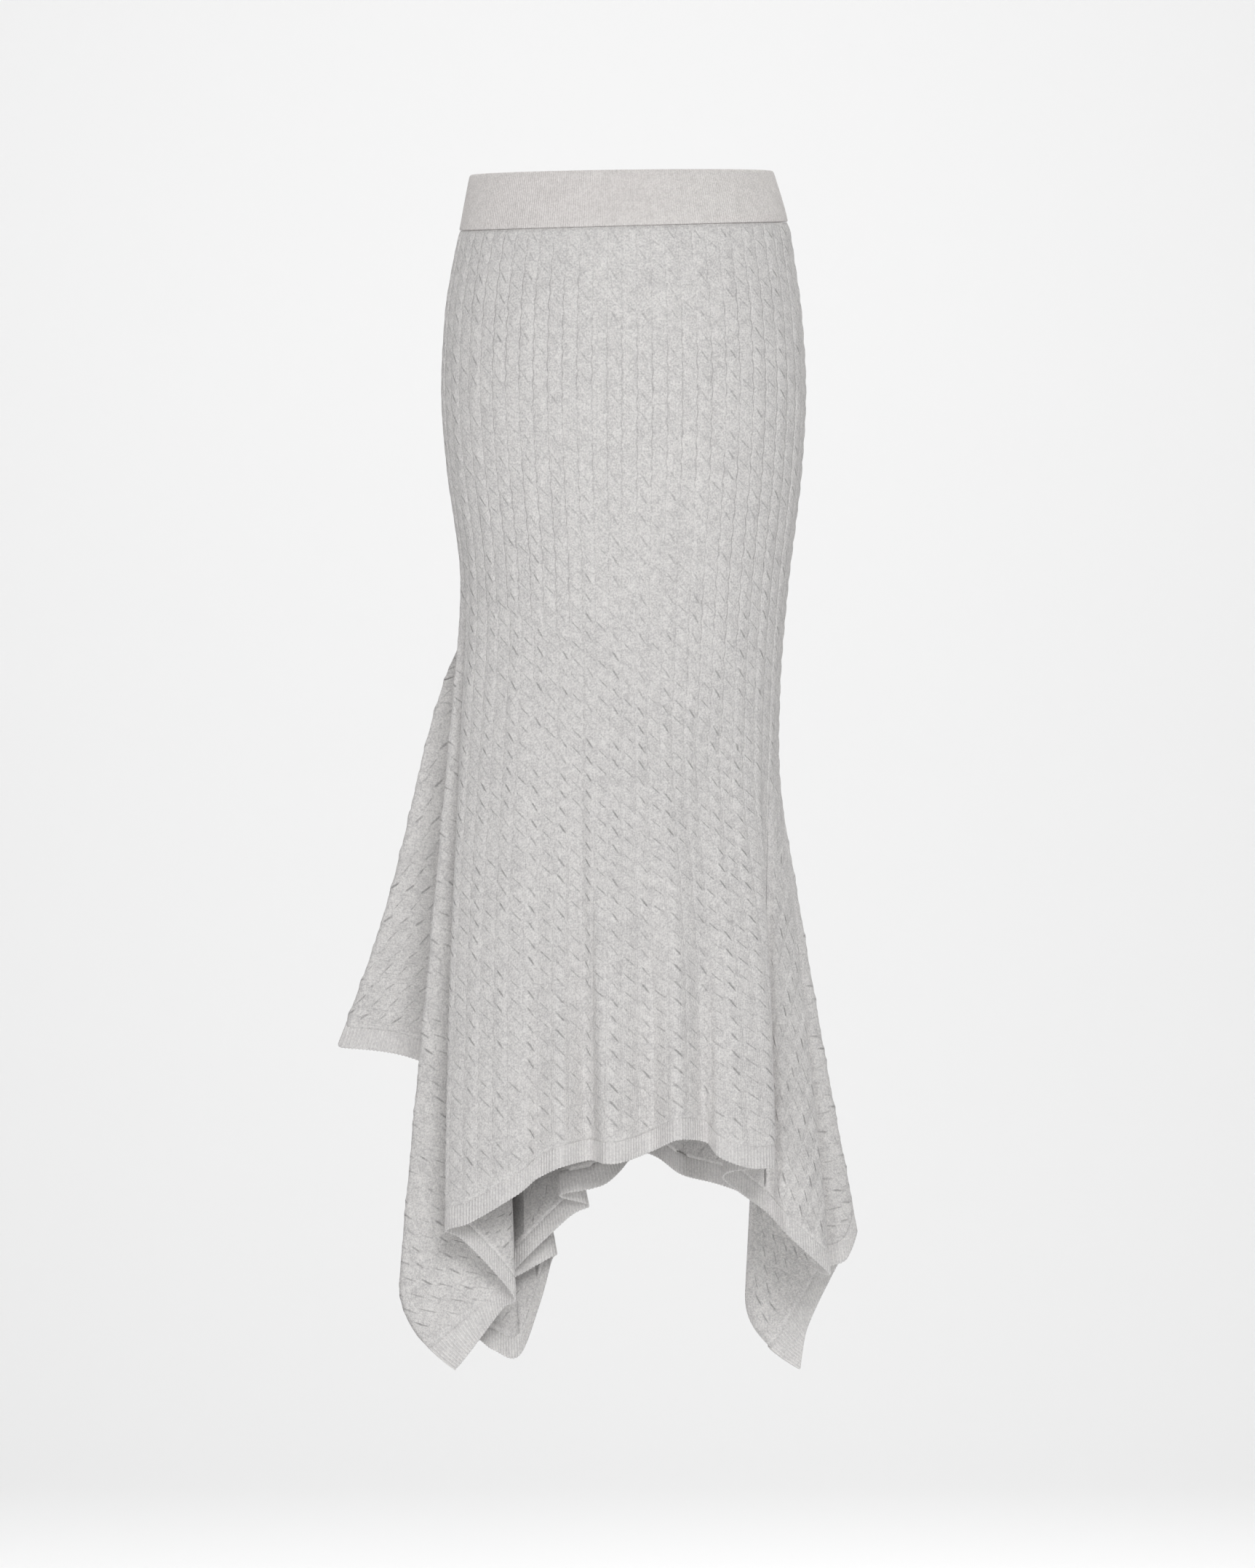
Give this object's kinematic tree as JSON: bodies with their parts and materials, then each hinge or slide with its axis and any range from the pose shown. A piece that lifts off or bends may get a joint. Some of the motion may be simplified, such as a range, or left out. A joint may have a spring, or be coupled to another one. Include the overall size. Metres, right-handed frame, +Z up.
{
  "type": "midi skirt",
  "caption": "Cable-knit midi skirt with a double rib waistband, a close-fitting hip, a flared lower part in deep folds and a pointed handkerchief hem edged in rib.",
  "frame": {"origin": "centre of the waistband's top, where the wearer's waist holds the skirt", "axes": "+Z up out of the waist, front of the skirt towards -Y, +X to the right as the front is looked at"},
  "size_m": [0.4951, 0.3133, 1.1622],
  "materials": {
    "body_knit": "matt, softly fuzzy",
    "waist_rib": "matt, softly fuzzy",
    "hem_rib": "matt, softly fuzzy"
  },
  "bodies": {
    "root": {"waistband": "waist_rib", "front_panel": "body_knit", "back_panel": "body_knit", "hem_rib_front": "hem_rib", "hem_rib_back": "hem_rib"}
  },
  "joints": []
}
